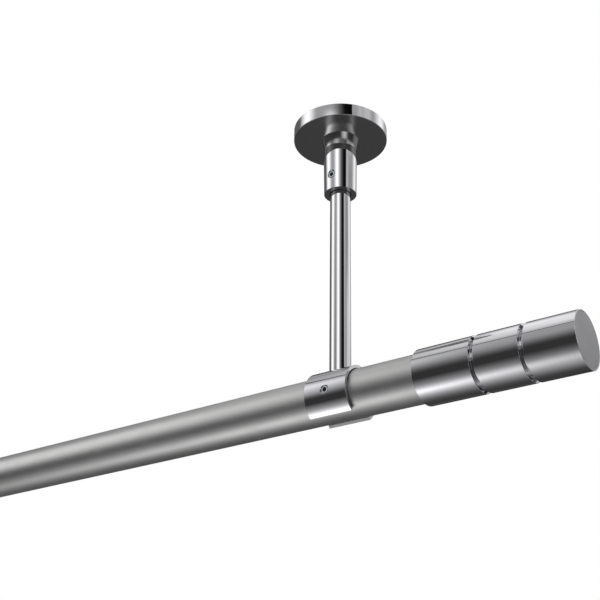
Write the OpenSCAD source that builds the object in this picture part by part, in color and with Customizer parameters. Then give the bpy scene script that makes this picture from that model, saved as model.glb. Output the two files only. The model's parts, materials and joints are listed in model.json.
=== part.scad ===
// Ceiling mounted curtain rod: one round rod hung on two drop supports, with a grooved
// cylinder finial on each end.
// The origin is on the ceiling, midway between the supports. +X runs along the rod,
// -Y faces the room, +Z is up. All sizes are in millimetres.

/* [Rod] */
// Outside diameter of the rod
rod_d = 28; // [20:0.5:35]
// Wall thickness of the rod's tube
rod_wall = 1.2; // [0.8:0.1:2]
// Length of the rod's tube
rod_len = 1200; // [600:10:3000]
// From each support's axis to the end of the tube
rod_overhang = 80; // [60:1:200]

/* [Ceiling flange] */
// From the ceiling down to the rod's axis
drop = 185; // [130:1:600]
// Diameter of the flange cover
flange_d = 60; // [50:1:90]
// Height of the flange cover
flange_h = 8.5; // [7:0.1:14]
// Sheet thickness of the flange cover
flange_wall = 1.5; // [1:0.1:2]
// Gap between the cover's wall and the plate that is screwed to the ceiling
plate_gap = 3.5; // [0.5:0.1:5]
// Thickness of that plate
plate_t = 3; // [2:0.1:4]
// From the middle of each ceiling screw hole to the edge of the plate
screw_inset = 7; // [4:0.5:9]
// Diameter of the ceiling screw holes
screw_hole_d = 5.2; // [4:0.1:6]
// Diameter of the hub under the plate
hub_d = 16; // [12:0.5:20]
// Thread diameter of the stud that joins plate, boss and sleeve
stud_d = 8; // [6:0.5:10]

/* [Boss and sleeve] */
// Diameter of the boss where it meets the flange
boss_top_d = 24.2; // [20:0.1:32]
// Diameter of the boss at its lower edge
boss_low_d = 21.2; // [20:0.1:26]
// Height of the boss
boss_h = 8; // [5:0.1:14]
// Diameter of the sleeve at the top
sleeve_top_d = 21.4; // [20.6:0.1:24]
// Diameter of the sleeve at the bottom
sleeve_low_d = 20.4; // [19:0.1:24]
// Length of the sleeve
sleeve_len = 32.2; // [28:0.1:60]
// Depth of the stud's thread in the top of the sleeve
stud_depth = 8; // [3:0.1:12]
// Metal left in the sleeve between the stud's thread and the hanger's bore
sleeve_web = 1.5; // [1:0.1:4]
// Thread diameter of the sleeve's grub screw
sleeve_grub_d = 5; // [4:0.1:6]
// Height of that grub screw above the bottom of the sleeve
sleeve_grub_h = 10.3; // [7:0.1:12]
// Width of the gap round the hanger at the mouth of the sleeve
mouth_w = 0.4; // [0.1:0.1:1]
// Height of that gap
mouth_h = 2.5; // [1:0.1:4]

/* [Hanger] */
// Diameter of the hanger tube
hanger_d = 12.8; // [10:0.1:14]
// Wall thickness of the hanger tube
hanger_wall = 1.5; // [1:0.1:2]
// Free height above the hanger in the sleeve, for raising the rod
hanger_lift = 2; // [1:0.1:4]
// How far the threaded insert in the hanger's foot goes on above the saddle's screw
insert_end = 5; // [1:0.5:20]

/* [Saddle] */
// Length of the saddle along the rod
saddle_len = 28; // [20:0.5:40]
// Wall thickness of the saddle
saddle_wall = 1.8; // [1.5:0.1:3]
// How far the rod stands out below the saddle's two lower edges
rod_shows = 0.7; // [0.3:0.1:6]
// Thickness of the plastic liner in the saddle
liner_t = 0.55; // [0.3:0.05:2]
// How far the liner stays back from each end of the saddle
liner_inset = 0.2; // [0.1:0.1:1]
// How far round the rod the liner stays back from the saddle's two lower edges
liner_back = 0.5; // [0.2:0.1:2]
// Thread diameter of the saddle's grub screw
saddle_grub_d = 5; // [3:0.1:6]
// Thread diameter of the countersunk screw that holds the saddle
saddle_screw_d = 4; // [3:0.1:4.5]
// Height of the cone under that screw's head
saddle_screw_cone = 1.7; // [1.2:0.1:1.9]
// Length of that screw above the saddle
saddle_screw_len = 9; // [6:0.5:11]

/* [Finial] */
// How far the finial stands out over the rod
finial_step = 2; // [1.5:0.1:10]
// Length of the segment next to the rod
finial_first = 34; // [30:0.1:60]
// Length of the middle segment
finial_mid = 25.4; // [10:0.1:50]
// Length of the outer segment
finial_last = 28.1; // [10:0.1:50]
// Width of each groove
groove_w = 2.6; // [1:0.1:6]
// Depth of each groove
groove_depth = 2.6; // [0.4:0.1:4]
// How far the rod goes into the finial
finial_socket = 24; // [10:0.5:24.5]
// Thickness of the web across the inside of the finial
finial_web = 4; // [2:0.1:5]
// Metal left between a groove's floor and the finial's front hollow
groove_floor = 1.6; // [1:0.1:4]
// Thickness of the end cap
cap_t = 2.5; // [1.5:0.1:4]
// Bright rim of the finial left around the end cap
cap_rim = 0.7; // [0.5:0.1:1.5]
// Length of the plug that grips inside the rod
plug_len = 30; // [15:0.5:60]
// Height of the ribs on the plug
plug_rib = 0.8; // [0.4:0.1:1.5]
// Thread diameter of the screw that holds the plug
finial_screw_d = 4; // [3:0.1:5]
// Length of that screw's thread
finial_screw_len = 18; // [12:0.5:28]
// Head diameter of that screw
finial_head_d = 8; // [6:0.1:10]
// Height of that screw's head
finial_head_h = 2.6; // [2:0.1:4]

/* [Fits] */
// Radial clearance between pieces that are screwed or pressed together
snug = 0.02; // [0.01:0.01:0.05]
// Radial clearance between pieces that slide or turn
slip = 0.04; // [0.02:0.01:0.1]
// Gap left at the end of a piece that must not touch
end_gap = 0.5; // [0.3:0.1:1]
// Gap between a grub screw's tip and what it clamps
grub_gap = 0.1; // [0.05:0.05:0.3]
// Radial clearance of holes that a screw passes or its head goes into
screw_clear = 0.2; // [0.1:0.05:0.4]
// How deep a grub screw sits below the surface round it
grub_recess = 0.5; // [0.1:0.05:0.8]
// Size of the small bevel on turned edges
edge = 0.3; // [0.1:0.1:0.5]

/* [Hidden] */
$fn = 96;
// A small overlap, so that no cut or union ends face to face
eps = 0.01;
// How far a cutter runs out of the piece it cuts
over = 1;

rod_r = rod_d / 2;
support_x = rod_len / 2 - rod_overhang;

plate_d = flange_d - 2 * (flange_wall + plate_gap);
screw_spacing = plate_d - 2 * screw_inset;

// Heights below the ceiling, in one support's own frame
flange_z = -flange_h;
sleeve_z = flange_z - boss_h;
sleeve_foot_z = sleeve_z - sleeve_len;
bore_top_z = sleeve_z - stud_depth - sleeve_web;
hanger_top_z = bore_top_z - hanger_lift;
sleeve_grub_z = sleeve_foot_z + sleeve_grub_h;

// Radii around the rod's axis, from the rod outwards
seat_r = rod_r + slip;
liner_r = seat_r + liner_t;
saddle_in_r = liner_r + snug;
saddle_r = saddle_in_r + saddle_wall;

// Half the angle that the saddle and the liner leave open below
saddle_open = acos((rod_r - rod_shows) / saddle_r);
liner_open = saddle_open + liner_back / liner_r * 180 / PI;
saddle_head_d = saddle_screw_d + 2 * saddle_screw_cone;

hanger_r = hanger_d / 2;
hanger_in_r = hanger_r - hanger_wall;
bore_r = hanger_r + slip;
insert_foot_z = saddle_r + snug;

// Radius of the sleeve at the height of its grub screw
sleeve_taper = (sleeve_top_d - sleeve_low_d) / 2 / sleeve_len;
sleeve_grub_r = sleeve_low_d / 2 + sleeve_taper * sleeve_grub_h;

// Hexagon sockets: radius as a share of the thread's diameter, depth as a share of the screw or head
grub_socket = 0.29;
head_socket = 0.36;
socket_depth = 0.5;

// Distances along the finial from its mouth
finial_len = finial_first + finial_mid + finial_last + 2 * groove_w;
web_x = finial_socket + end_gap;
hollow_x = web_x + finial_web;
groove_x = [finial_first, finial_first + groove_w + finial_mid];
finial_r = rod_r + finial_step;
floor_r = finial_r - groove_depth;
plug_r = rod_r - rod_wall - slip;
screw_tip_x = hollow_x - finial_screw_len;

// The plug's ribs, and how much of each step between them is rib
plug_ribs = 5;
rib_share = 1 / 3;

// Places a piece on the right support, which is modelled around its own hanger axis
module right() {
  translate([support_x, 0, 0]) children();
}

// The left support is the right one's mirror image
module left() {
  mirror([1, 0, 0]) right() children();
}

// Places a piece of a finial, which is modelled from its mouth outwards along +X
module at_finial() {
  translate([rod_overhang - finial_socket, 0, -drop]) children();
}

// A solid turned about the X axis from a profile of [radius, distance along X] points
module turned_x(profile) {
  rotate([90, 0, 90]) rotate([0, 0, -90])
    rotate_extrude() polygon(profile);
}

// A round bar along X, from x0 to x1
module bar_x(r, x0, x1) {
  translate([x0, 0, 0]) rotate([0, 90, 0]) cylinder(r = r, h = x1 - x0);
}

// A round bar pointing to the room, from y0 out to y1, at height z
module bar_front(r, y0, y1, z) {
  translate([0, -y0, z]) rotate([90, 0, 0]) cylinder(r = r, h = y1 - y0);
}

// A headless screw with a hexagon socket, pointing to the room
module grub(d, tip, out, z) {
  difference() {
    bar_front(d / 2, tip, out, z);
    translate([0, -out - eps, z]) rotate([-90, 0, 0])
      cylinder(r = d * grub_socket, h = (out - tip) * socket_depth, $fn = 6);
  }
}

// A band around the rod's axis, cut open below up to an angle from straight down on each side
module open_band(inner_r, outer_r, length, open) {
  depth = outer_r + over;
  rotate([90, 0, 90]) translate([0, 0, -length / 2])
    linear_extrude(length)
      difference() {
        circle(r = outer_r);
        circle(r = inner_r);
        polygon([[0, 0], [-depth * tan(open), -depth], [depth * tan(open), -depth]]);
      }
}

module rod_tube() {
  color("gainsboro")
    translate([0, 0, -drop])
      difference() {
        bar_x(rod_r, -rod_len / 2, rod_len / 2);
        bar_x(rod_r - rod_wall, -rod_len / 2 - eps, rod_len / 2 + eps);
      }
}

// The steel plate against the ceiling, with a hub that the cover bears on
module ceiling_plate() {
  hub_h = flange_h - flange_wall;
  color("darkgray")
    difference() {
      union() {
        translate([0, 0, -plate_t]) cylinder(d = plate_d, h = plate_t);
        translate([0, 0, -hub_h]) cylinder(d = hub_d, h = hub_h - plate_t + eps);
      }
      translate([0, 0, -hub_h - over]) cylinder(r = stud_d / 2 + snug, h = hub_h + 2 * over);
      for (side = [-1, 1])
        translate([0, side * screw_spacing / 2, -plate_t - over])
          cylinder(d = screw_hole_d, h = plate_t + 2 * over);
    }
}

// The polished cover, a shallow cup that hides the plate
module flange_cover() {
  color("silver")
    difference() {
      rotate_extrude()
        polygon([
          [0, flange_z],
          [flange_d / 2 - edge, flange_z],
          [flange_d / 2, flange_z + edge],
          [flange_d / 2, 0],
          [flange_d / 2 - flange_wall, 0],
          [flange_d / 2 - flange_wall, flange_z + flange_wall],
          [0, flange_z + flange_wall]
        ]);
      translate([0, 0, flange_z - over])
        cylinder(r = stud_d / 2 + screw_clear, h = flange_wall + 2 * over);
    }
}

module flange_stud() {
  top_z = -end_gap;
  foot_z = sleeve_z - stud_depth + end_gap;
  color("darkgray")
    translate([0, 0, foot_z]) cylinder(d = stud_d, h = top_z - foot_z);
}

// The tapered collar that clamps the cover
module boss() {
  color("silver")
    difference() {
      translate([0, 0, sleeve_z]) cylinder(d1 = boss_low_d, d2 = boss_top_d, h = boss_h);
      translate([0, 0, sleeve_z - over]) cylinder(r = stud_d / 2 + snug, h = boss_h + 2 * over);
    }
}

// The tapered sleeve that holds the hanger
module sleeve() {
  color("silver")
    difference() {
      rotate_extrude()
        polygon([
          [0, sleeve_foot_z],
          [sleeve_low_d / 2 - edge, sleeve_foot_z],
          [sleeve_low_d / 2, sleeve_foot_z + edge],
          [sleeve_top_d / 2, sleeve_z - edge],
          [sleeve_top_d / 2 - edge, sleeve_z],
          [0, sleeve_z]
        ]);
      translate([0, 0, sleeve_foot_z - over]) cylinder(r = bore_r, h = bore_top_z - sleeve_foot_z + over);
      translate([0, 0, sleeve_foot_z - over]) cylinder(r = bore_r + mouth_w, h = mouth_h + over);
      translate([0, 0, sleeve_z - stud_depth]) cylinder(r = stud_d / 2 + snug, h = stud_depth + over);
      bar_front(sleeve_grub_d / 2 + snug, 0, sleeve_top_d, sleeve_grub_z);
    }
}

module sleeve_grub() {
  color("dimgray")
    grub(sleeve_grub_d, hanger_r + grub_gap, sleeve_grub_r - grub_recess, sleeve_grub_z);
}

// The hanger tube, coped to sit on the saddle
module hanger() {
  color("silver")
    difference() {
      translate([0, 0, -drop]) cylinder(r = hanger_r, h = drop + hanger_top_z);
      translate([0, 0, -drop - over]) cylinder(r = hanger_in_r, h = drop + over);
      translate([0, 0, -drop]) bar_x(saddle_r + snug, -rod_d, rod_d);
    }
}

// The threaded plug in the hanger's foot
module hanger_insert() {
  color("goldenrod")
    translate([0, 0, insert_foot_z - drop])
      difference() {
        cylinder(r = hanger_in_r - snug, h = saddle_screw_len + insert_end);
        translate([0, 0, -over])
          cylinder(r = saddle_screw_d / 2 + snug, h = saddle_screw_len + end_gap + over);
      }
}

// The saddle wraps over the rod and is open below
module saddle() {
  cone_z = saddle_r - saddle_screw_cone;
  color("silver")
    translate([0, 0, -drop])
      difference() {
        open_band(saddle_in_r, saddle_r, saddle_len, saddle_open);
        cylinder(r = saddle_screw_d / 2 + screw_clear, h = saddle_r + over);
        cylinder(r = saddle_head_d / 2 + screw_clear, h = cone_z);
        translate([0, 0, cone_z])
          cylinder(
            r1 = saddle_head_d / 2 + screw_clear,
            r2 = saddle_screw_d / 2 + screw_clear,
            h = saddle_screw_cone
          );
        bar_front(saddle_grub_d / 2 + snug, 0, rod_d, 0);
      }
}

module saddle_liner() {
  color("black")
    translate([0, 0, -drop])
      difference() {
        open_band(seat_r, liner_r, saddle_len - 2 * liner_inset, liner_open);
        cylinder(r = saddle_head_d / 2 + 2 * screw_clear, h = saddle_r);
        bar_front(saddle_grub_d / 2 + screw_clear, 0, rod_d, 0);
      }
}

// The countersunk screw from inside the saddle up into the hanger's foot
module saddle_screw() {
  head_z = saddle_r - saddle_screw_cone - edge;
  color("dimgray")
    translate([0, 0, -drop])
      difference() {
        union() {
          translate([0, 0, head_z]) cylinder(d = saddle_head_d, h = edge + eps);
          translate([0, 0, head_z + edge])
            cylinder(d1 = saddle_head_d, d2 = saddle_screw_d, h = saddle_screw_cone);
          translate([0, 0, saddle_r - eps]) cylinder(d = saddle_screw_d, h = saddle_screw_len);
        }
        translate([0, 0, head_z - eps])
          cylinder(r = saddle_screw_d * head_socket, h = (saddle_screw_cone + edge) * socket_depth, $fn = 6);
      }
}

module saddle_grub() {
  color("dimgray")
    grub(saddle_grub_d, rod_r + grub_gap, saddle_r - grub_recess, -drop);
}

// The turned body of the finial, with its two grooves
module finial_body() {
  color("silver")
    at_finial()
      difference() {
        turned_x([
          [0, 0],
          [finial_r - edge, 0],
          [finial_r, edge],
          [finial_r, groove_x[0]],
          [floor_r, groove_x[0]],
          [floor_r, groove_x[0] + groove_w],
          [finial_r, groove_x[0] + groove_w],
          [finial_r, groove_x[1]],
          [floor_r, groove_x[1]],
          [floor_r, groove_x[1] + groove_w],
          [finial_r, groove_x[1] + groove_w],
          [finial_r, finial_len - edge],
          [finial_r - edge, finial_len],
          [0, finial_len]
        ]);
        bar_x(rod_r + slip, -over, web_x);
        bar_x(finial_screw_d / 2 + screw_clear, web_x - over, hollow_x + over);
        bar_x(floor_r - groove_floor, hollow_x, finial_len - cap_t + eps);
        bar_x(finial_r - cap_rim, finial_len - cap_t, finial_len + over);
      }
}

// The flat disc that closes the end of the finial
module finial_cap() {
  color("darkgray")
    at_finial()
      bar_x(finial_r - cap_rim - snug, finial_len - cap_t, finial_len);
}

// The ribbed plastic plug that grips inside the rod
module finial_plug() {
  pitch = plug_len / (plug_ribs + 0.5);
  color("black")
    at_finial()
      difference() {
        union() {
          bar_x(plug_r - plug_rib, web_x - plug_len, web_x);
          translate([web_x - plug_len, 0, 0])
            for (i = [0 : plug_ribs - 1])
              bar_x(plug_r, (i + 0.5) * pitch, (i + 0.5 + rib_share) * pitch);
        }
        bar_x(finial_screw_d / 2 + snug, screw_tip_x - end_gap, web_x + over);
      }
}

// The screw through the web into the plug
module finial_screw() {
  color("dimgray")
    at_finial()
      difference() {
        union() {
          bar_x(finial_screw_d / 2, screw_tip_x, hollow_x + eps);
          bar_x(finial_head_d / 2, hollow_x, hollow_x + finial_head_h);
        }
        translate([hollow_x + finial_head_h * (1 - socket_depth), 0, 0]) rotate([0, 90, 0])
          cylinder(r = finial_screw_d * head_socket, h = finial_head_h, $fn = 6);
      }
}

rod_tube();

right() ceiling_plate();  // ceiling_plate_right
right() flange_cover();  // flange_cover_right
right() flange_stud();  // flange_stud_right
right() boss();  // boss_right
right() sleeve();  // sleeve_right
right() sleeve_grub();  // sleeve_grub_right
right() hanger();  // hanger_right
right() hanger_insert();  // hanger_insert_right
right() saddle();  // saddle_right
right() saddle_liner();  // saddle_liner_right
right() saddle_screw();  // saddle_screw_right
right() saddle_grub();  // saddle_grub_right
right() finial_body();  // finial_body_right
right() finial_cap();  // finial_cap_right
right() finial_plug();  // finial_plug_right
right() finial_screw();  // finial_screw_right

left() ceiling_plate();  // ceiling_plate_left
left() flange_cover();  // flange_cover_left
left() flange_stud();  // flange_stud_left
left() boss();  // boss_left
left() sleeve();  // sleeve_left
left() sleeve_grub();  // sleeve_grub_left
left() hanger();  // hanger_left
left() hanger_insert();  // hanger_insert_left
left() saddle();  // saddle_left
left() saddle_liner();  // saddle_liner_left
left() saddle_screw();  // saddle_screw_left
left() saddle_grub();  // saddle_grub_left
left() finial_body();  // finial_body_left
left() finial_cap();  // finial_cap_left
left() finial_plug();  // finial_plug_left
left() finial_screw();  // finial_screw_left
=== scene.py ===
# %% [markdown]
# # A curtain rod under the ceiling
#
# This lesson dresses a curtain rod: a satin tube that hangs from two chrome supports, with a grooved
# cylinder finial on each end. The engineering model comes first and stays as it is. Blender's work is
# to give every visible piece soft edges and a finish that looks like metal from close by.
# The model is in metres: +X runs along the rod, -Y faces the room, and the ceiling is at height zero.

import json
import math

import bmesh
import bpy
from mathutils import Matrix, Vector


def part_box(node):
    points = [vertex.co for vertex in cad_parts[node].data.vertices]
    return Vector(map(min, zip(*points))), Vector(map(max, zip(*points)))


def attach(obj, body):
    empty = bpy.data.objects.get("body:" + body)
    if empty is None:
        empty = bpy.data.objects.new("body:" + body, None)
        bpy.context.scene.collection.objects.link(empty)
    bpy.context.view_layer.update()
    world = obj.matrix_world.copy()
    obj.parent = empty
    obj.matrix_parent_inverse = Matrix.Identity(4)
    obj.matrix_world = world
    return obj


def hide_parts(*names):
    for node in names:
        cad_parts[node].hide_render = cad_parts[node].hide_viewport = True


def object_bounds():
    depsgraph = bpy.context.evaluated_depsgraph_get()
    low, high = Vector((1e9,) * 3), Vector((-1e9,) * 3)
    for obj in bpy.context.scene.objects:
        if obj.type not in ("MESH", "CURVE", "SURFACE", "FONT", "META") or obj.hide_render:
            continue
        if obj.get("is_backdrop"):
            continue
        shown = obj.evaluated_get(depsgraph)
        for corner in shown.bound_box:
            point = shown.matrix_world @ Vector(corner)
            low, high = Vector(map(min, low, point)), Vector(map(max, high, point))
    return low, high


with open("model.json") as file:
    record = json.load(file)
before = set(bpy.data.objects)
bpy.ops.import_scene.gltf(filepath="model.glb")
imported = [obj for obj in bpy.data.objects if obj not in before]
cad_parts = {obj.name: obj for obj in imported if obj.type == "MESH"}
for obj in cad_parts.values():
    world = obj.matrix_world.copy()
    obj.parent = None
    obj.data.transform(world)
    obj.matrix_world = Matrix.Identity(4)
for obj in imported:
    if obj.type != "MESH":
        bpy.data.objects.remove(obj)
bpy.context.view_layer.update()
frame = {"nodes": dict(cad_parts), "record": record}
MM = 0.001
SIDES = {"right": 1, "left": -1}

# %% [markdown]
# ## Where things are
# Places are taken from the engineering model's own boxes, so a new piece lands where the old one
# was. Sizes that no box shows, such as a wall or a bore, are written where their piece is made. The
# two supports are mirror images, so one distance, from the middle to a hanger, places both.

# %% Measure the supports and the rod
cover_low, cover_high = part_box("flange_cover_right")
rod_low, rod_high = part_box("rod_tube")
support_x = (cover_low.x + cover_high.x) / 2
rod_z = (rod_low.z + rod_high.z) / 2
rod_r = (rod_high.z - rod_low.z) / 2
print("hangers at +-%.1f mm, rod axis %.1f mm below the ceiling" % (support_x / MM, -rod_z / MM))

# %% [markdown]
# ## The camera
# The photograph looks up at the right support from below the rod and from the right. The place, the
# two turns, the small tilt and the lens were solved from the outlines of rod, hanger, finial and
# flange.

# %% Set the camera
CAMERA_PLACE = Vector((0.83688, -0.47202, -0.40005))
CAMERA_TURN = math.radians(36.315)
CAMERA_RISE = math.radians(26.002)
CAMERA_TILT = math.radians(1.083)
CAMERA_LENS = 63.148
NEAR_CLIP = 10 * MM
camera = bpy.data.objects.new("camera", bpy.data.cameras.new("camera"))
bpy.context.scene.collection.objects.link(camera)
camera.data.lens = CAMERA_LENS
camera.data.clip_start = NEAR_CLIP
camera.matrix_world = (
    Matrix.Translation(CAMERA_PLACE)
    @ Matrix.Rotation(CAMERA_TURN, 4, "Z")
    @ Matrix.Rotation(math.pi / 2 + CAMERA_RISE, 4, "X")
    @ Matrix.Rotation(CAMERA_TILT, 4, "Z")
)
bpy.context.scene.camera = camera
bpy.context.scene.view_settings.view_transform = "Standard"
print("camera looks along", [round(v, 3) for v in camera.matrix_world.to_3x3() @ Vector((0, 0, -1))])

# %% [markdown]
# ## White all round
# The background is plain white and lights everything evenly: a world of strength 1 shows a colour
# about as it is written. An even sky needs no importance sampling, so that is turned off.

# %% Make the white world
world = bpy.data.worlds.new("white studio")
bpy.context.scene.world = world
world.use_nodes = True
sky = world.node_tree.nodes["Background"]
sky.inputs["Color"].default_value = (1, 1, 1, 1)
sky.inputs["Strength"].default_value = 1
world.cycles.sampling_method = "NONE"
print("world strength", sky.inputs["Strength"].default_value)

# %% [markdown]
# ## The floor
# The floor lies a room's height below and glows by the little that a white paint lacks, so it meets
# the background without a line and still takes the object's shadow.

# %% Lay the pale floor
ROOM_HEIGHT = 2.4
FLOOR_REACH = 12
FLOOR_WHITE = 0.8


def mesh_object(name, bm):
    """Turns a bmesh into an object of that name in the scene."""
    mesh = bpy.data.meshes.new(name)
    bm.to_mesh(mesh)
    bm.free()
    obj = bpy.data.objects.new(name, mesh)
    bpy.context.scene.collection.objects.link(obj)
    return obj


bm = bmesh.new()
bmesh.ops.create_grid(bm, x_segments=1, y_segments=1, size=FLOOR_REACH)
bmesh.ops.translate(bm, verts=bm.verts, vec=(0, 0, -ROOM_HEIGHT))
floor = mesh_object("floor", bm)
floor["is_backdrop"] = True
paint = bpy.data.materials.new("floor paint")
paint.use_nodes = True
shader = paint.node_tree.nodes["Principled BSDF"]
shader.inputs["Base Color"].default_value = (FLOOR_WHITE, FLOOR_WHITE, FLOOR_WHITE, 1)
shader.inputs["Roughness"].default_value = 1
shader.inputs["Specular IOR Level"].default_value = 0
shader.inputs["Emission Color"].default_value = (1, 1, 1, 1)
shader.inputs["Emission Strength"].default_value = 1 - FLOOR_WHITE
floor.data.materials.append(paint)
print("floor at", -ROOM_HEIGHT, "m")

# %% [markdown]
# ## What the chrome sees
# Polished metal has hardly a colour of its own: it shows what stands round it. A photographer
# therefore sets up a tent of grey walls, soft lamps and black flags. Here they are panels with soft
# borders, seen by reflections only, so the white light and the background stay as they are.
# The borders are worked out inside the panels' materials, by small nodes that divide and multiply.
# These helpers place such nodes, and the metals use them later.

# %% Helpers for sums in a material
def feed(tree, value, socket):
    """Links a socket to an input, or writes a plain number into it."""
    if isinstance(value, bpy.types.NodeSocket):
        tree.links.new(value, socket)
    else:
        socket.default_value = value


def math_node(tree, operation, *values, clamp=False):
    """A Math node whose inputs are sockets or numbers; gives its output socket."""
    node = tree.nodes.new("ShaderNodeMath")
    node.operation = operation
    node.use_clamp = clamp
    for value, socket in zip(values, node.inputs):
        feed(tree, value, socket)
    return node.outputs[0]


def ramp_up(tree, value, start, end):
    """0 below start and 1 above end, with a smooth step between them."""
    node = tree.nodes.new("ShaderNodeMapRange")
    node.interpolation_type = "SMOOTHSTEP"
    tree.links.new(value, node.inputs["Value"])
    node.inputs["From Min"].default_value = start
    node.inputs["From Max"].default_value = end
    return node.outputs["Result"]


def distance(tree, a, b):
    """How far a point is from an axis, from its two distances across that axis."""
    squares = [math_node(tree, "MULTIPLY", part, part) for part in (a, b)]
    return math_node(tree, "SQRT", math_node(tree, "ADD", *squares))


# %% [markdown]
# ## Light without a lamp
# Each panel is an Emission shader of one grey level, mixed with a Transparent shader wherever its
# mask is below 1. It is then hidden from the camera, from diffuse light and from shadows.

# %% Helpers for panels of light
def glow(name, level, mask):
    """A light of that level which fades to clear where the mask, made by a function, is 0."""
    material = bpy.data.materials.new(name)
    material.use_nodes = True
    material.cycles.emission_sampling = "NONE"
    tree = material.node_tree
    tree.nodes.clear()
    place = tree.nodes.new("ShaderNodeTexCoord")
    parts = tree.nodes.new("ShaderNodeSeparateXYZ")
    tree.links.new(place.outputs["Object"], parts.inputs[0])
    light = tree.nodes.new("ShaderNodeEmission")
    light.inputs["Color"].default_value = (level, level, level, 1)
    clear = tree.nodes.new("ShaderNodeBsdfTransparent")
    mix = tree.nodes.new("ShaderNodeMixShader")
    feed(tree, mask(tree, *parts.outputs), mix.inputs["Fac"])
    tree.links.new(clear.outputs[0], mix.inputs[1])
    tree.links.new(light.outputs[0], mix.inputs[2])
    out = tree.nodes.new("ShaderNodeOutputMaterial")
    tree.links.new(mix.outputs[0], out.inputs["Surface"])
    return material


def only_in_reflections(obj):
    obj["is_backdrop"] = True
    obj.visible_camera = False
    obj.visible_diffuse = False
    obj.visible_shadow = False


# %% [markdown]
# ## A curved panel
# The walls of the tent curve round the right support, so a panel is an upright line, spun part of a
# turn. Its place is a compass bearing: 0 is behind the rod, 90 is to its right and 180 is the room.
# Its foot and head are angles above the horizon, and a smaller radius brings it in front of others.

# %% A helper for curved panels
TENT_CENTRE = Vector((support_x, 0, -120 * MM))
ALL_ROUND = 180
FEWEST_STEPS = 8


def tent_panel(name, bearing, half_width, low, high, radius, level, fade=(0, 0, 0, 0)):
    """A panel with its angles in degrees. fade is how far it fades in from the lower bearing, the
    higher bearing, the bottom and the top, each as a share of half the panel."""
    half_turn = math.radians(half_width)
    bottom, top = (radius * math.tan(math.radians(angle)) for angle in (low, high))
    middle, half_height = (top + bottom) / 2, (top - bottom) / 2
    bm = bmesh.new()
    foot, head = bm.verts.new((radius, 0, bottom)), bm.verts.new((radius, 0, top))
    edge = bm.edges.new((foot, head))
    bmesh.ops.rotate(bm, verts=bm.verts, matrix=Matrix.Rotation(-half_turn, 3, "Z"))
    bmesh.ops.spin(
        bm, geom=[foot, head, edge], axis=(0, 0, 1), cent=(0, 0, 0), angle=2 * half_turn,
        steps=max(FEWEST_STEPS, int(half_width)), use_merge=half_width == ALL_ROUND,
    )
    panel = mesh_object(name, bm)
    panel.location = TENT_CENTRE
    panel.rotation_euler.z = math.radians(90 - bearing)

    def mask(tree, x, y, z):
        turn = math_node(tree, "DIVIDE", math_node(tree, "ARCTAN2", y, x), half_turn)
        rise = math_node(tree, "DIVIDE", math_node(tree, "SUBTRACT", z, middle), half_height)
        back, fall = (math_node(tree, "MULTIPLY", value, -1) for value in (turn, rise))
        total = 1
        for value, share in zip((back, turn, rise, fall), fade):
            if share:
                total = math_node(tree, "MULTIPLY", total, ramp_up(tree, value, -1, share - 1))
        return total

    panel.data.materials.append(glow(name, level, mask))
    only_in_reflections(panel)
    print("%-22s %.1f m high" % (name, top - bottom))


# %% [markdown]
# ## The walls
# Two full circles come first: nearly black, and over it a mid grey that fades in above the horizon.
# What stays black is the dark band along the saddle and the finials. On the right the grey falls
# into shade, and higher up it is lighter, which the rim of the cover shows. Two dim panels lift the
# black: one low on the right, and one below the horizon at the back, which the boss reflects.

# %% Put up the walls
TENT_RADIUS = 3.95
WALL_TOP = 54
tent_panel("wall, dark foot", bearing=0, half_width=ALL_ROUND, low=-24, high=WALL_TOP,
           radius=TENT_RADIUS, level=0.04)
tent_panel("wall, grey", bearing=0, half_width=ALL_ROUND, low=-4, high=WALL_TOP,
           radius=3.9, level=0.4, fade=(0, 0, 1.1, 0))
tent_panel("right wall, shaded", bearing=74, half_width=26, low=8, high=WALL_TOP,
           radius=3.85, level=0.31, fade=(0.9, 0.9, 0.2, 0))
tent_panel("right wall, upper", bearing=76, half_width=20, low=32, high=WALL_TOP,
           radius=3.8, level=0.58, fade=(0.8, 0.8, 0.2, 0))
tent_panel("low right wall", bearing=135, half_width=45, low=2, high=14,
           radius=3.5, level=0.22, fade=(0.6, 0.8, 0, 0.2))
tent_panel("low back wall", bearing=36, half_width=34, low=-36, high=-8,
           radius=2.0, level=0.26, fade=(0.5, 0.6, 0.5, 0.5))

# %% [markdown]
# ## The lamps
# Two large lamps stand in the room, left and right. They draw the long light stripes on the sleeve
# and the hanger, and the left one also shows on the rod. Those at the back light the right half of
# the hanger and the end disc, with a dim strip between them and the room, and a low one on the right
# is the bright part of the boss. Each fades out at its sides, which makes a stripe on chrome soft.

# %% Put up the lamps
tent_panel("left lamp", bearing=236, half_width=31, low=-6, high=54,
           radius=3.7, level=1.35, fade=(1, 1, 0.6, 0.95))
tent_panel("right lamp", bearing=168.5, half_width=27.5, low=14, high=37.7,
           radius=3.7, level=1.38, fade=(1.09, 1.05, 0.3, 0.27))
tent_panel("back lamp", bearing=28, half_width=31, low=13, high=44,
           radius=3.7, level=1.1, fade=(1, 1, 0.85, 0.3))
tent_panel("back lamp, lower half", bearing=56, half_width=28, low=14, high=30,
           radius=3.68, level=0.75, fade=(0.9, 0.9, 0.5, 0.7))
tent_panel("low back lamp", bearing=52, half_width=16, low=5, high=20,
           radius=3.65, level=1.1, fade=(1, 1, 0.6, 0.6))
tent_panel("side strip", bearing=96, half_width=12, low=10, high=WALL_TOP,
           radius=3.7, level=0.55, fade=(1, 1, 0.3, 0))
tent_panel("low right lamp", bearing=122, half_width=26, low=-24, high=1,
           radius=3.5, level=0.85, fade=(1, 1, 0.2, 0.1))

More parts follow.
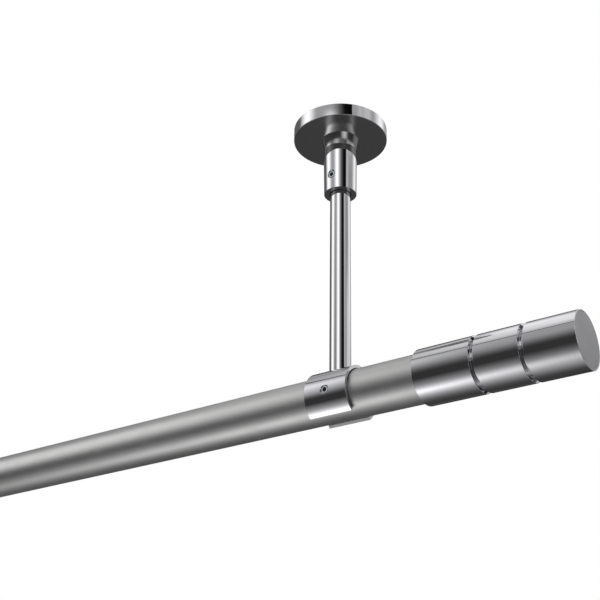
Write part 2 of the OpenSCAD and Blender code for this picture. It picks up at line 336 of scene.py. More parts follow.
# %% [markdown]
# ## The flags
# A flag is a black cloth that takes light away. The two on the right end hard on one side: that is
# the crisp dark line that runs down the cover's rim, the sleeve and the hanger. The two on the left
# darken the left of those and the finials' grooves. Two narrow seams, where wall and roof meet and
# in the roof, draw thin dark lines along the saddle and the finials.

# %% Hang the flags and the seams
tent_panel("left dark flag", bearing=297, half_width=48, low=-20, high=48,
           radius=3.8, level=0.12, fade=(0.45, 0.3, 0.2, 0.3))
tent_panel("left black flag", bearing=325, half_width=17, low=-12, high=48,
           radius=3.75, level=0.02, fade=(0.6, 0.4, 0.3, 0.3))
tent_panel("black flag", bearing=135, half_width=29, low=14, high=36,
           radius=3.6, level=0.004, fade=(0, 1.45, 0.1, 0))
tent_panel("black flag, upper", bearing=146, half_width=29, low=36, high=WALL_TOP,
           radius=3.6, level=0.004, fade=(0, 1.45, 0, 0))
tent_panel("dark seam", bearing=210, half_width=70, low=WALL_TOP - 2.2, high=WALL_TOP,
           radius=3.4, level=0.1, fade=(0.3, 0.3, 0.6, 0))
tent_panel("roof seam", bearing=288, half_width=22, low=60, high=63.5,
           radius=2.5, level=0.05, fade=(0.4, 0.4, 0.6, 0.6))

# %% [markdown]
# ## A round panel
# Roof and ground are discs, and so are the lamps on them, which are brightest in the middle. A lamp
# is aimed by the direction in which the rod sees it, a bearing and an angle to the level.

# %% Helpers for round panels
DISC_STEPS = 64


def tent_disc(name, height, half_size, level, middle=(0, 0), peak=0.0, bearing=0):
    """A level oval above or below the rod. half_size is half its length, along the bearing, and half
    its width. peak 0 is even light; with a higher peak the light gathers in the middle."""
    half_length, half_width = half_size
    bm = bmesh.new()
    bmesh.ops.create_circle(bm, cap_ends=True, segments=DISC_STEPS, radius=1)
    bmesh.ops.scale(bm, verts=bm.verts, vec=(half_width, half_length, 1))
    disc = mesh_object(name, bm)
    disc.location = TENT_CENTRE + Vector((*middle, height))
    disc.rotation_euler.z = -math.radians(bearing)

    def mask(tree, x, y, z):
        across = math_node(tree, "DIVIDE", x, half_width)
        along = math_node(tree, "DIVIDE", y, half_length)
        inward = math_node(tree, "SUBTRACT", 1, distance(tree, across, along), clamp=True)
        return math_node(tree, "POWER", inward, peak)

    disc.data.materials.append(glow(name, level, mask))
    only_in_reflections(disc)
    print("%-22s %.1f m wide" % (name, 2 * half_width))


def bearing_place(height, bearing, angle):
    """Where a disc at that height is met when looking along a bearing at an angle to the level."""
    reach = abs(height) / math.tan(math.radians(angle))
    return (reach * math.sin(math.radians(bearing)), reach * math.cos(math.radians(bearing)))


# %% [markdown]
# ## Roof and ground
# The roof is an even grey with a wide lamp over the room and a long one at the back: they light the
# tops of the finials. The ground is dark, as a floor in the shade is, and the underside of the cover
# shows it. Pools of light on it are the highlights low on the saddle, the rod and the finials.

# %% Close the tent above and below
ROOF = TENT_RADIUS * math.tan(math.radians(WALL_TOP))
GROUND = -1.6
tent_disc("tent roof", height=ROOF, half_size=(4.0, 4.0), level=0.34)
tent_disc("roof lamp", height=ROOF - 0.1, half_size=(3.6, 3.6), level=1.2,
          middle=bearing_place(ROOF, bearing=225, angle=74), peak=1.5)
tent_disc("roof lamp, back", height=ROOF - 0.15, half_size=(2.4, 0.9), level=1.15,
          middle=(-1.9, 1.1), peak=0.75, bearing=346)
tent_disc("dark ground", height=GROUND, half_size=(3.94, 3.94), level=0.054)
tent_disc("ground lamp, right", height=GROUND + 0.05, half_size=(3.6, 1.5), level=0.7,
          middle=bearing_place(GROUND, bearing=51, angle=57), peak=3, bearing=55)
tent_disc("ground lamp, left, wide", height=GROUND + 0.08, half_size=(3.94, 2.5), level=0.62,
          middle=(-1.1, -0.79), peak=3.3, bearing=39)
tent_disc("ground lamp, left", height=GROUND + 0.1, half_size=(2.45, 1.77), level=2.6,
          middle=(-1.0, -0.38), peak=6, bearing=102)

# %% [markdown]
# ## Textures shared by the metals
# Metal looks real through what its tools and hands left on it: lines from brushing or turning, and
# faint marks from handling. Each is a node group, built once, with its own density, so that one
# recipe serves a polished cover and a satin rod. A group gives out heights and masks only.

# %% Helpers for texture groups
NOISE_ROUGHNESS = 0.55


def new_group(name, density, outputs):
    """A node group that takes a Vector and a Density and gives out the named values."""
    group = bpy.data.node_groups.new(name, "ShaderNodeTree")
    group.interface.new_socket("Vector", in_out="INPUT", socket_type="NodeSocketVector")
    socket = group.interface.new_socket("Density", in_out="INPUT", socket_type="NodeSocketFloat")
    socket.default_value = density
    for label in outputs:
        group.interface.new_socket(label, in_out="OUTPUT", socket_type="NodeSocketFloat")
    given, made = group.nodes.new("NodeGroupInput"), group.nodes.new("NodeGroupOutput")
    return group, given.outputs, made.inputs


def noise(tree, vector, scale, detail=3.0):
    """A noise of so many grains to the metre; detail is how many finer layers it has."""
    node = tree.nodes.new("ShaderNodeTexNoise")
    tree.links.new(vector, node.inputs["Vector"])
    feed(tree, scale, node.inputs["Scale"])
    node.inputs["Detail"].default_value = detail
    node.inputs["Roughness"].default_value = NOISE_ROUGHNESS
    return node.outputs["Fac"]


def stretched(tree, vector, scale, turn=(0, 0, 0)):
    """Squeezes and turns a pattern's space: a small scale on an axis draws the pattern out along it."""
    node = tree.nodes.new("ShaderNodeMapping")
    node.inputs["Rotation"].default_value = turn
    node.inputs["Scale"].default_value = scale
    tree.links.new(vector, node.inputs["Vector"])
    return node.outputs["Vector"]


def weighed(tree, a, b, share):
    """A share of a and the rest of b, added up."""
    parts = (math_node(tree, "MULTIPLY", a, share), math_node(tree, "MULTIPLY", b, 1 - share))
    return math_node(tree, "ADD", *parts, clamp=True)


# %% [markdown]
# ## Brushed lines
# A brush or a drawing ring leaves lines that run along the metal, here along X. A noise that is
# drawn out more than a hundred times gives the lines, and a short, coarse one gives dull patches.

# %% Build the brushed lines
LINE_SCALE = (0.006, 1, 1)
PATCH_SCALE = (0.2, 1, 1)
PATCH_DENSITY = 60.0
LINE_SHARE = 0.6
brushed_lines, given, made = new_group("Brushed lines", 4000.0, ("Height", "Tone"))
lines = noise(brushed_lines, stretched(brushed_lines, given["Vector"], LINE_SCALE), given["Density"])
patch_space = stretched(brushed_lines, given["Vector"], PATCH_SCALE)
patches = noise(brushed_lines, patch_space, PATCH_DENSITY, detail=2.0)
brushed_lines.links.new(lines, made["Height"])
brushed_lines.links.new(weighed(brushed_lines, lines, patches, LINE_SHARE), made["Tone"])
print("group", brushed_lines.name, "has", len(brushed_lines.nodes), "nodes")

# %% [markdown]
# ## Turning lines
# A lathe leaves lines that run round the X axis, and rings across a flat face. A noise that only
# knows the place along the axis and the distance from it gives both.

# %% Build the turning lines
TONE_DENSITY = 500.0
turning_lines, given, made = new_group("Turning lines", 5000.0, ("Height", "Tone"))
parts = turning_lines.nodes.new("ShaderNodeSeparateXYZ")
turning_lines.links.new(given["Vector"], parts.inputs[0])
along, across, up = parts.outputs
rings = turning_lines.nodes.new("ShaderNodeCombineXYZ")
turning_lines.links.new(along, rings.inputs["X"])
turning_lines.links.new(distance(turning_lines, across, up), rings.inputs["Y"])
height = noise(turning_lines, rings.outputs[0], given["Density"], detail=2.0)
tone = noise(turning_lines, rings.outputs[0], TONE_DENSITY, detail=2.0)
turning_lines.links.new(height, made["Height"])
turning_lines.links.new(tone, made["Tone"])
print("group", turning_lines.name, "has", len(turning_lines.nodes), "nodes")

# %% [markdown]
# ## Handling marks
# Fingers leave faint smears, and rings and cloths a few hair-fine scratches. Both are noises of
# which only the peaks are kept, and the scratches are drawn out along a slanting direction.

# %% Build the handling marks
SCRATCH_SCALE = (900, 30, 900)
SCRATCH_SLANT = (0.5, 0.7, 0.3)
SMEAR_PEAKS = (0.42, 0.72)
SCRATCH_PEAKS = (0.70, 0.76)
handling_marks, given, made = new_group("Handling marks", 60.0, ("Smear", "Scratch"))
clouds = noise(handling_marks, given["Vector"], given["Density"], detail=4.0)
scratch_space = stretched(handling_marks, given["Vector"], SCRATCH_SCALE, SCRATCH_SLANT)
streaks = noise(handling_marks, scratch_space, 1.0, detail=1.0)
handling_marks.links.new(ramp_up(handling_marks, clouds, *SMEAR_PEAKS), made["Smear"])
handling_marks.links.new(ramp_up(handling_marks, streaks, *SCRATCH_PEAKS), made["Scratch"])
print("texture groups:", [g.name for g in bpy.data.node_groups])

# %% [markdown]
# ## From a texture to a surface
# A group's output runs from 0 to 1. A material brings it to the range it needs: two colours, two
# limits of roughness, or a relief whose depth is a real length, so that it suits the object's size.

# %% Helpers for colours, values and bumps
MICRON = 1e-6


def mixed(tree, factor, dark, light):
    """A colour between dark and light, by a factor of 0 to 1."""
    node = tree.nodes.new("ShaderNodeMix")
    node.data_type = "RGBA"
    tree.links.new(factor, node.inputs["Factor"])
    node.inputs["A"].default_value = (*dark, 1)
    node.inputs["B"].default_value = (*light, 1)
    return node.outputs["Result"]


def between(tree, factor, low, high):
    """A value between low and high, by a factor of 0 to 1."""
    node = tree.nodes.new("ShaderNodeMapRange")
    tree.links.new(factor, node.inputs["Value"])
    node.inputs["To Min"].default_value = low
    node.inputs["To Max"].default_value = high
    return node.outputs["Result"]


def placed(tree, group, vector, density):
    """Places a texture group in a material; gives what comes out of it."""
    node = tree.nodes.new("ShaderNodeGroup")
    node.node_tree = group
    tree.links.new(vector, node.inputs["Vector"])
    node.inputs["Density"].default_value = density
    return node.outputs


def rough_surface(tree, shader, relief, depth):
    """Gives a shader the bumps of a relief, of that depth in metres."""
    bump = tree.nodes.new("ShaderNodeBump")
    bump.inputs["Distance"].default_value = depth
    tree.links.new(relief, bump.inputs["Height"])
    tree.links.new(bump.outputs["Normal"], shader.inputs["Normal"])


# %% [markdown]
# ## A recipe for metal
# All the metals share one recipe: a colour that drifts a little with the tool lines, a roughness
# between two limits, and bumps of some thousandths of a millimetre. What differs is which way the
# lines run and how deep they are, so those are the helper's arguments.

# %% A helper that mixes a metal
HANDLING_DENSITY = 70.0
SCRATCH_DEPTH = 0.6
TONE_SHARE = 0.5


def metal(
    name, colour, lines, rough, density, depth,
    drift=0.06, turn=(0, 0, 0), middle=(0, 0, 0), metallic=1.0,
):
    """A metal with tool lines. rough is (lowest, highest), depth is in metres, drift is how far the
    colour strays, and turn and middle bring the piece's own axis onto the X axis of the lines."""
    material = bpy.data.materials.new(name)
    material.use_nodes = True
    tree = material.node_tree
    shader = tree.nodes["Principled BSDF"]
    place = tree.nodes.new("ShaderNodeTexCoord").outputs["Object"]
    own = tree.nodes.new("ShaderNodeMapping")
    own.vector_type = "TEXTURE"
    own.inputs["Location"].default_value = middle
    own.inputs["Rotation"].default_value = turn
    tree.links.new(place, own.inputs["Vector"])
    height, tone = placed(tree, lines, own.outputs["Vector"], density)
    smear, scratch = placed(tree, handling_marks, place, HANDLING_DENSITY)
    dark = tuple(c * (1 - drift) for c in colour)
    light = tuple(min(1, c * (1 + drift)) for c in colour)
    worn = weighed(tree, tone, smear, TONE_SHARE)
    relief = math_node(tree, "SUBTRACT", height, math_node(tree, "MULTIPLY", scratch, SCRATCH_DEPTH))
    tree.links.new(mixed(tree, tone, dark, light), shader.inputs["Base Color"])
    tree.links.new(between(tree, worn, *rough), shader.inputs["Roughness"])
    rough_surface(tree, shader, relief, depth)
    shader.inputs["Metallic"].default_value = metallic
    print("%-22s roughness %.2f to %.2f" % (name, *rough))
    return material


# %% [markdown]
# ## Plated finishes of the supports
# Cover, sleeve and hanger are turned, polished and plated. The boss and the underside of the cover
# were polished less. The lines run round each support's own axis, so every support needs its own.

# %% Mix the chrome of the supports
UPRIGHT = (0, math.radians(90), 0)


def plated(name, colour, rough, density, depth):
    """One finish for each support, with its lines round that support's axis."""
    return {
        side: metal(
            name + ", " + side, colour, turning_lines, rough, density, depth,
            drift=0.03, turn=UPRIGHT, middle=(sign * support_x, 0, 0),
        )
        for side, sign in SIDES.items()
    }


chrome = plated(
    "polished chrome", (0.78, 0.78, 0.80), rough=(0.02, 0.07), density=6000.0, depth=0.2 * MICRON,
)
soft_chrome = plated(
    "soft chrome", (0.72, 0.72, 0.725), rough=(0.14, 0.2), density=5000.0, depth=0.4 * MICRON,
)

# %% [markdown]
# ## Finishes of the rod, the saddle and the finials
# The rod is satin: brushed along its length and anodised. The saddle is bent from sheet that was
# brushed along the rod before plating, so it reflects more softly than the hanger. The finials are
# turned from solid and polished, with a plain satin disc at the end.

# %% Mix the finishes along the rod
ROD_AXIS = (0, 0, rod_z)
satin_rod = metal(
    "satin rod", (0.72, 0.72, 0.715), brushed_lines,
    rough=(0.40, 0.47), density=7000.0, depth=1.2 * MICRON, drift=0.03,
)
half_polished = metal(
    "half polished chrome", (0.72, 0.72, 0.75), brushed_lines,
    rough=(0.04, 0.1), density=5200.0, depth=1.2 * MICRON, drift=0.05,
)
finial_chrome = metal(
    "turned chrome", (0.72, 0.72, 0.745), turning_lines,
    rough=(0.015, 0.05), density=7000.0, depth=0.3 * MICRON, drift=0.05, middle=ROD_AXIS,
)
finial_end = metal(
    "satin end", (0.42, 0.42, 0.432), turning_lines,
    rough=(0.38, 0.48), density=9000.0, depth=1.2 * MICRON, middle=ROD_AXIS,
)

# %% [markdown]
# ## Finishes of cut faces and inner pieces, and painted shade in recesses
# Where the band was sawn the plating is thin and dull. Bores and sockets get painted shade: a near-black
# finish that stands in for the shade deep in those recesses. Screws are bright steel, the plate is
# galvanised and the insert is brass.

# %% Mix the finishes of cut faces and inner pieces
sawn_edge = metal(
    "sawn edge", (0.38, 0.38, 0.385), turning_lines,
    rough=(0.45, 0.6), density=5000.0, depth=2 * MICRON, metallic=0.2,
)
screw_steel = metal(
    "screw steel", (0.56, 0.59, 0.62), turning_lines,
    rough=(0.14, 0.24), density=3000.0, depth=MICRON, drift=0.12,
)
# Painted shade: a near-black colour for faces inside bores and sockets, standing in for their shade.
recess_painted_shade = metal(
    "recess painted shade", (0.012, 0.012, 0.013), turning_lines,
    rough=(0.5, 0.65), density=2500.0, depth=3 * MICRON, drift=0.1, metallic=0.0,
)
zinc_plate = metal(
    "zinc plate", (0.62, 0.63, 0.62), brushed_lines,
    rough=(0.3, 0.5), density=900.0, depth=4 * MICRON, drift=0.12,
)
brass_insert = metal(
    "turned brass", (0.78, 0.62, 0.32), turning_lines,
    rough=(0.18, 0.3), density=4000.0, depth=MICRON, drift=0.08, turn=UPRIGHT,
)

# %% [markdown]
# ## Black plastic
# The liners and the plugs inside the rod are moulded. Plastic isn't metal: it needs its own small
# recipe, nearly black, with little gloss and the fine grain of a moulded skin.

# %% Mix the black plastic
GRAIN_DENSITY = 2600.0
STAIN_DENSITY = 90.0
GRAIN_DEPTH = 15 * MICRON
black_plastic = bpy.data.materials.new("black plastic")
black_plastic.use_nodes = True
tree = black_plastic.node_tree
shader = tree.nodes["Principled BSDF"]
place = tree.nodes.new("ShaderNodeTexCoord").outputs["Object"]
grain = noise(tree, place, GRAIN_DENSITY, detail=2.0)
stain = noise(tree, place, STAIN_DENSITY)
black = mixed(tree, stain, (0.008, 0.008, 0.009), (0.014, 0.014, 0.013))
tree.links.new(black, shader.inputs["Base Color"])
tree.links.new(between(tree, grain, 0.42, 0.6), shader.inputs["Roughness"])
shader.inputs["Specular IOR Level"].default_value = 0.2
rough_surface(tree, shader, grain, GRAIN_DEPTH)
print(len(bpy.data.materials), "materials")

# %% [markdown]
# ## Finish the engineering nodes
# Plates, studs, inserts, plugs and their screws sit inside and already have the right shape, so
# they keep it and only get their finish. The record says which finish each node has. The outer nodes
# get theirs too, and new pieces take their place further down.

# %% Give every node its finish
finishes = {
    "satin_rod": satin_rod, "satin_chrome": half_polished, "finial_chrome": finial_chrome,
    "finial_end": finial_end, "zinc_plate": zinc_plate, "screw_steel": screw_steel,
    "brass_insert": brass_insert, "black_plastic": black_plastic,
}
slot_of = {row["node"]: row["material_slot"] for row in frame["record"]["subparts"]}
for name, node in frame["nodes"].items():
    slot = slot_of[name]
    side = name.rsplit("_", 1)[-1]
    node.data.materials.clear()
    node.data.materials.append(chrome[side] if slot == "chrome" else finishes[slot])
print("finished", len(slot_of), "nodes")

# %% [markdown]
# ## Turning a piece
# Almost everything here is made on a lathe, so one helper does what a lathe does: it takes half an
# outline and spins it a full turn. A second one lays a shape down or lifts it to its place.

# %% Helpers for turning and placing
ROUND_STEPS = 192
WELD = 1e-7


def turned(outline):
    """Spins an outline of (radius, height) points, in metres, about Z. One that starts on the axis
    also ends on it, and the spin closes it there."""
    bm = bmesh.new()
    points = [bm.verts.new((radius, 0, height)) for radius, height in outline]
    on_axis = outline[0][0] == 0
    following = points[1:] if on_axis else points[1:] + points[:1]
    for a, b in zip(points, following):
        bm.edges.new((a, b))
    bmesh.ops.spin(
        bm, geom=bm.verts[:] + bm.edges[:], axis=(0, 0, 1), cent=(0, 0, 0),
        angle=math.tau, steps=ROUND_STEPS, use_merge=True,
    )
    bmesh.ops.remove_doubles(bm, verts=bm.verts, dist=WELD)
    bmesh.ops.recalc_face_normals(bm, faces=bm.faces)
    return bm


def moved(bm, place=(0, 0, 0), turn=0.0, axis="Y"):
    """Turns a shape about an axis, by that many degrees, and then moves it."""
    if turn:
        rotation = Matrix.Rotation(math.radians(turn), 3, axis)
        bmesh.ops.rotate(bm, verts=bm.verts, cent=(0, 0, 0), matrix=rotation)
    bmesh.ops.translate(bm, verts=bm.verts, vec=place)
    return bm


# %% [markdown]
# ## Drilling and milling
# A hole from the side can't be turned, so it is cut: a Boolean modifier takes the drill's shape out
# of the blank, and the result is taken back as a bmesh for the next step.

# %% A helper that cuts
def cut(bm, tool):
    """Cuts another shape out of a shape, as a drill or a mill would."""
    blank = mesh_object("blank", bm)
    cutter = mesh_object("tool", tool)
    step = blank.modifiers.new("cut", "BOOLEAN")
    step.operation = "DIFFERENCE"
    step.solver = "EXACT"
    step.object = cutter
    result = bpy.data.meshes.new_from_object(blank.evaluated_get(bpy.context.evaluated_depsgraph_get()))
    for obj in (blank, cutter):
        bpy.data.objects.remove(obj)
    bm = bmesh.new()
    bm.from_mesh(result)
    bmesh.ops.remove_doubles(bm, verts=bm.verts, dist=WELD)
    return bm


# %% [markdown]
# ## From a shape to a finished piece
# Real edges are never quite sharp, and the thin bright line on them is what tells the eye that a
# thing is made of metal, so a bevel follows. Weighted normals keep the flat faces flat beside it,
# which matters on a mirror finish. A piece rides on its body and takes the place of a CAD node.

# %% Helpers that finish a piece
SHARP_CORNER = math.radians(30)
BEVEL_STEPS = 3


def piece(name, bm, finish, body, node, edge):
    """Makes a finished piece: smooth, with soft edges, riding on its body in place of a CAD node."""
    obj = mesh_object(name, bm)
    obj.data.polygons.foreach_set("use_smooth", [True] * len(obj.data.polygons))
    obj.data.materials.append(finish)
    bevel = obj.modifiers.new("soft edges", "BEVEL")
    bevel.width = edge
    bevel.segments = BEVEL_STEPS
    bevel.limit_method = "ANGLE"
    bevel.angle_limit = SHARP_CORNER
    obj.modifiers.new("flat faces stay flat", "WEIGHTED_NORMAL").keep_sharp = True
    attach(obj, body)
    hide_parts(node)
    low, high = (Vector(c) for c in (obj.bound_box[0], obj.bound_box[6]))
    print("%-22s %4d faces, %s mm" % (name, len(obj.data.polygons), [round(v / MM, 1) for v in high - low]))
    return obj


def second_finish(obj, finish, chosen):
    """Gives the faces for which chosen(middle, normal) is true another finish; tells how many."""
    obj.data.materials.append(finish)
    for face in obj.data.polygons:
        face.material_index = 1 if chosen(face.center, face.normal) else 0
    print("  %d faces are %s" % (sum(face.material_index for face in obj.data.polygons), finish.name))


# %% [markdown]
# ## The rod
# A drawn aluminium tube, 28 mm across, sawn to length and deburred. Spinning the outline of its
# wall and laying it down gives both skins and the ring at each end in one go.

# %% Make the rod
ROD_WALL = 1.2 * MM
half_rod = (rod_high.x - rod_low.x) / 2
bore = rod_r - ROD_WALL
bm = turned([(bore, -half_rod), (rod_r, -half_rod), (rod_r, half_rod), (bore, half_rod)])
piece(
    "satin_tube", moved(bm, (0, 0, rod_z), 90), satin_rod,
    body="rod", node="rod_tube", edge=0.25 * MM,
)

# %% [markdown]
# ## The cover
# A shallow cup, spun from sheet, that hides the screwed plate. Its rim stands straight up to the
# ceiling and its floor is flat, with a hole for the stud. The rim is a mirror, and the underside
# was polished less, so its reflections are soft.

# %% Make the covers
COVER_WALL = 1.5 * MM
STUD_HOLE = 4.2 * MM
FACING_DOWN = -0.9
cover_r = (cover_high.x - cover_low.x) / 2
cover_z = cover_low.z
for side, sign in SIDES.items():
    bm = turned([
        (STUD_HOLE, cover_z), (cover_r, cover_z), (cover_r, 0), (cover_r - COVER_WALL, 0),
        (cover_r - COVER_WALL, cover_z + COVER_WALL), (STUD_HOLE, cover_z + COVER_WALL),
    ])
    cover = piece(
        "cover_" + side, moved(bm, (sign * support_x, 0, 0)), chrome[side],
        body="ceiling_supports", node="flange_cover_" + side, edge=0.3 * MM,
    )
    second_finish(cover, soft_chrome[side], lambda middle, normal: normal.z < FACING_DOWN)

# %% [markdown]
# ## The boss
# The collar that clamps the cover: a short cone, drilled for the stud. It mirrors the underside of
# the cover, softly, and together they look nearly black in the middle.

# %% Make the bosses
BOSS_HEIGHT = 8 * MM
BOSS_HEAD = 12.1 * MM
BOSS_FOOT = 10.6 * MM
THREAD = 4.02 * MM
boss_top = cover_z
boss_foot = boss_top - BOSS_HEIGHT
for side, sign in SIDES.items():
    bm = turned([(THREAD, boss_top), (BOSS_HEAD, boss_top), (BOSS_FOOT, boss_foot), (THREAD, boss_foot)])
    piece(
        "boss_" + side, moved(bm, (sign * support_x, 0, 0)), soft_chrome[side],
        body="ceiling_supports", node="boss_" + side, edge=0.15 * MM,
    )

# %% [markdown]
# ## A drill for grub screws
# Sleeve and saddle both take a grub screw that faces the room. The hole's edge is countersunk, so
# the drill is a rod that widens to a cone from just below the surface outwards.

# %% A helper for the grub screws' drill
GRUB_PLAY = 0.03 * MM
SCREW_SINK = 0.4 * MM
DRILL_RUN = 4 * MM


def screw_drill(radius, surface, height):
    """A drill from the room's side for a screw of that radius. surface is how far from the axis the
    drilled piece ends there."""
    wide, sunk, far = radius + GRUB_PLAY, surface - SCREW_SINK, surface + DRILL_RUN
    cone = wide + far - sunk
    bm = turned([(0, 0), (wide, 0), (wide, sunk), (cone, far), (0, far)])
    return moved(bm, (0, 0, height), 90, "X")


# %% [markdown]
# ## The sleeve
# A slightly tapered tube that takes the hanger. A blind bore comes from below, a short thread from
# above, and a cross hole takes the grub screw. The bore is a little wider at its mouth, and its faces get
# painted shade, a near-black colour, which shows as a black ring round the hanger.

# %% Make the sleeves
sleeve_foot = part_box("sleeve_right")[0].z
grub_low, grub_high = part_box("sleeve_grub_right")
grub_r, grub_z = (grub_high.z - grub_low.z) / 2, (grub_high.z + grub_low.z) / 2
SLEEVE_FOOT = 10.2 * MM
SLEEVE_HEAD = 10.7 * MM
BORE, BORE_TOP = 6.44 * MM, -26 * MM
MOUTH, MOUTH_DEPTH = 6.84 * MM, 2.5 * MM
THREAD_FOOT = -24.5 * MM
mouth_top = sleeve_foot + MOUTH_DEPTH
for side, sign in SIDES.items():
    bm = turned([
        (0, BORE_TOP), (BORE, BORE_TOP), (BORE, mouth_top), (MOUTH, mouth_top), (MOUTH, sleeve_foot),
        (SLEEVE_FOOT, sleeve_foot), (SLEEVE_HEAD, boss_foot), (THREAD, boss_foot),
        (THREAD, THREAD_FOOT), (0, THREAD_FOOT),
    ])
    bm = cut(bm, screw_drill(grub_r, SLEEVE_FOOT, grub_z))
    sleeve = piece(
        "sleeve_body_" + side, moved(bm, (sign * support_x, 0, 0)), chrome[side],
        body="ceiling_supports", node="sleeve_" + side, edge=0.15 * MM,
    )
    axis = Vector((sign * support_x, 0))
    # Painted shade: the faces inside the bore and its mouth are coloured near-black.
    second_finish(
        sleeve, recess_painted_shade,
        lambda middle, normal: (middle.xy - axis).length < MOUTH + GRUB_PLAY and middle.z < THREAD_FOOT,
    )

# %% [markdown]
# ## The hanger
# A slim polished tube. Its foot is coped, that is milled to the saddle's curve, so that it sits on
# it all round. A cylinder as wide as the saddle does the milling.

# %% Make the hangers
hanger_low, hanger_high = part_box("hanger_right")
saddle_low, saddle_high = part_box("saddle_right")
HANGER_WALL = 1.5 * MM
SEAT_PLAY = 0.02 * MM
MILL_LENGTH = 40 * MM
MILL_STEPS = 256
saddle_r = saddle_high.z - rod_z
hanger_r = (hanger_high.x - hanger_low.x) / 2
mill_r = saddle_r + SEAT_PLAY
for side, sign in SIDES.items():
    bm = turned([
        (hanger_r - HANGER_WALL, rod_z), (hanger_r, rod_z),
        (hanger_r, hanger_high.z), (hanger_r - HANGER_WALL, hanger_high.z),
    ])
    mill = bmesh.new()
    bmesh.ops.create_cone(
        mill, cap_ends=True, segments=MILL_STEPS, radius1=mill_r, radius2=mill_r, depth=MILL_LENGTH,
    )
    bm = cut(bm, moved(mill, (0, 0, rod_z), 90))
    piece(
        "hanger_tube_" + side, moved(bm, (sign * support_x, 0, 0)), chrome[side],
        body="hanger_" + side, node="hanger_" + side, edge=0.12 * MM,
    )

# %% [markdown]
# ## The saddle
# A band that wraps over the rod and is open below. A rectangle, the band's section, is spun about
# the rod's axis, but not all the way round: what is left out is the opening, and both ends come out
# cut square to the band. Sawn ends aren't polished, so they get a duller finish of their own.

# %% Helpers for the saddle
liner_low, liner_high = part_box("saddle_liner_right")
saddle_grub_low, saddle_grub_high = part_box("saddle_grub_right")
LINER_PLAY = 0.02 * MM
NEARLY_SQUARE = 0.1
liner_r = liner_high.z - rod_z
saddle_grub_r = (saddle_grub_high.z - saddle_grub_low.z) / 2


def open_ring(inner, outer, length, foot):
    """A ring about X, open below. foot is the height, from its axis, at which its outside ends."""
    opening = math.acos(-foot / outer)
    bm = bmesh.new()
    corners = ((inner, -length / 2), (outer, -length / 2), (outer, length / 2), (inner, length / 2))
    start = bm.faces.new([bm.verts.new((x, 0, -radius)) for radius, x in corners])
    first_end = Matrix.Rotation(opening, 3, "X")
    bmesh.ops.rotate(bm, verts=bm.verts, cent=(0, 0, 0), matrix=first_end)
    bmesh.ops.spin(
        bm, geom=[start], axis=(1, 0, 0), cent=(0, 0, 0), angle=math.tau - 2 * opening,
        steps=ROUND_STEPS,
    )
    bmesh.ops.recalc_face_normals(bm, faces=bm.faces)
    return bm


def saddle_band(side, place):
    """The band of one saddle, drilled for its grub screw, with sawn ends."""
    ring = open_ring(
        liner_r + LINER_PLAY, saddle_r, saddle_high.x - saddle_low.x, saddle_low.z - rod_z,
    )
    bm = cut(ring, screw_drill(saddle_grub_r, saddle_r, 0))
    band = piece(
        "saddle_band_" + side, moved(bm, place), half_polished,
        body="hanger_" + side, node="saddle_" + side, edge=0.12 * MM,
    )

    def sawn(middle, normal):
        outwards = (middle - place).normalized()
        lengthwise = abs(normal.x) < NEARLY_SQUARE and abs(normal.dot(outwards)) < NEARLY_SQUARE
        return lengthwise and middle.z < rod_z - liner_r / 2

    second_finish(band, sawn_edge, sawn)


# %% [markdown]
# ## The liner
# The black liner inside the saddle keeps the rod from being scratched. It is the same open ring,
# thinner and of plastic, with a hole through which the grub screw presses on the rod.

# %% Make the saddles and liners
LINER_SEAT = 14.04 * MM
LINER_HOLE = 2.7 * MM
LINER_DRILL = 16 * MM
DRILL_STEPS = 48


def liner(side, place):
    """The plastic liner of one saddle."""
    ring = open_ring(LINER_SEAT, liner_r, liner_high.x - liner_low.x, liner_low.z - rod_z)
    drill = bmesh.new()
    bmesh.ops.create_cone(
        drill, cap_ends=True, segments=DRILL_STEPS, depth=LINER_DRILL,
        radius1=LINER_HOLE, radius2=LINER_HOLE,
    )
    bm = cut(ring, moved(drill, (0, -LINER_DRILL, 0), 90, "X"))
    piece(
        "liner_" + side, moved(bm, place), black_plastic,
        body="hanger_" + side, node="saddle_liner_" + side, edge=0.06 * MM,
    )


for side, sign in SIDES.items():
    saddle_place = Vector((sign * support_x, 0, rod_z))
    saddle_band(side, saddle_place)
    liner(side, saddle_place)

# %% [markdown]
# ## The grub screws
# Headless screws with a hexagon socket. The rim is bevelled by the lathe and the socket is pressed
# in with a six-sided punch, which here is a six-sided cutter. The socket's faces get painted shade,
# a near-black colour that stands in for the shade deep in the socket.

# %% Make the grub screws
GRUB_RIM = 0.35 * MM
SOCKET_SHARE = 0.58
SOCKET_REACH = 0.6


def grub_screw(name, node, body):
    """One grub screw, made for the room's side and put where its node is."""
    low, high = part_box(node)
    radius, length = (high.z - low.z) / 2, high.y - low.y
    middle_x, middle_z = (low.x + high.x) / 2, (low.z + high.z) / 2
    bm = turned([(0, 0), (radius, 0), (radius, length - GRUB_RIM), (radius - GRUB_RIM, length), (0, length)])
    punch = bmesh.new()
    punch_r = radius * SOCKET_SHARE
    bmesh.ops.create_cone(punch, cap_ends=True, segments=6, depth=length, radius1=punch_r, radius2=punch_r)
    bm = cut(bm, moved(punch, (0, 0, length)))
    screw = piece(
        name, moved(bm, (middle_x, high.y, middle_z), 90, "X"), screw_steel,
        body=body, node=node, edge=0.06 * MM,
    )

    def in_socket(middle, normal):
        off_axis = Vector((middle.x - middle_x, middle.z - middle_z)).length
        socket_end = (low.y + high.y) / 2 + GRUB_RIM
        return low.y + GRUB_RIM < middle.y < socket_end and off_axis < radius * SOCKET_REACH

    # Painted shade: the faces inside the socket are coloured near-black.
    second_finish(screw, recess_painted_shade, in_socket)


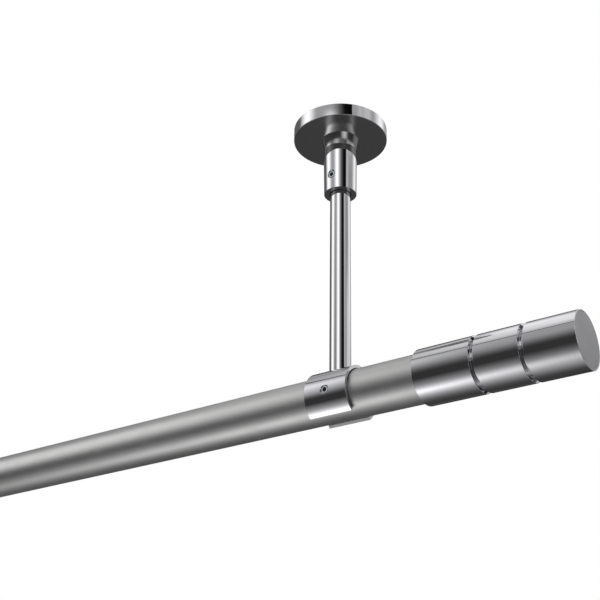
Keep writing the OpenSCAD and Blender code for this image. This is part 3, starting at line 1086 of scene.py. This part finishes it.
for side in SIDES:
    grub_screw("sleeve_screw_" + side, "sleeve_grub_" + side, "sleeve_grub_" + side)
    grub_screw("saddle_screw_head_" + side, "saddle_grub_" + side, "saddle_grub_" + side)

# %% [markdown]
# ## The finial
# Turned from solid: a cylinder a little wider than the rod, cut by two narrow grooves, with a
# socket for the rod at one end and a shallow seat for the end disc at the other. The whole
# section is one outline, inside and outside.

# %% A helper for the finial's body
FINIAL_SOCKET = 14.04 * MM
FIRST, MIDDLE = 34 * MM, 25.4 * MM
GROOVE, GROOVE_DEPTH = 2.6 * MM, 2.6 * MM
WEB, WEB_END, SCREW_HOLE = 24.5 * MM, 28.5 * MM, 2.2 * MM
FRONT_WALL, CAP, CAP_RIM = 4.2 * MM, 2.5 * MM, 0.7 * MM


def finial_outline(radius, length):
    """Half the section of a finial, as (radius, distance from the rod's side) points."""
    groove_floor, seat, hollow = radius - GROOVE_DEPTH, radius - CAP_RIM, radius - FRONT_WALL
    outline = [(FINIAL_SOCKET, 0), (radius, 0)]
    for start in (FIRST, FIRST + GROOVE + MIDDLE):
        end = start + GROOVE
        outline += [(radius, start), (groove_floor, start), (groove_floor, end), (radius, end)]
    outline += [(radius, length), (seat, length), (seat, length - CAP), (hollow, length - CAP)]
    outline += [(hollow, WEB_END), (SCREW_HOLE, WEB_END), (SCREW_HOLE, WEB), (FINIAL_SOCKET, WEB)]
    return outline


# %% [markdown]
# ## The end disc
# A satin disc that fills the seat, so that only a fine bright rim of the finial stays round it. It is
# turned to the same length as the finial. Both pieces are turned upright and then laid down, to the
# right or to the left.

# %% Make the finials and their end discs
CAP_PLAY = 0.02 * MM
for side, sign in SIDES.items():
    low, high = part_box("finial_body_" + side)
    length, radius = high.x - low.x, (high.z - low.z) / 2
    rod_side = (low.x if sign > 0 else high.x, 0, rod_z)
    piece(
        "finial_turned_" + side, moved(turned(finial_outline(radius, length)), rod_side, 90 * sign),
        finial_chrome,
        body="finial_" + side, node="finial_body_" + side, edge=0.2 * MM,
    )
    disc_r = radius - CAP_RIM - CAP_PLAY
    disc = turned([(0, length - CAP), (disc_r, length - CAP), (disc_r, length), (0, length)])
    piece(
        "end_disc_" + side, moved(disc, rod_side, 90 * sign), finial_end,
        body="finial_" + side, node="finial_cap_" + side, edge=0.1 * MM,
    )

# %% [markdown]
# ## The size of the dressed model
# The dressed model must be as large as the engineering model, so the box of the dressed model is printed.

# %% Print the dressed model's box
low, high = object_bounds()
print("visual box in mm:", [round(v / MM, 1) for v in (high - low)])
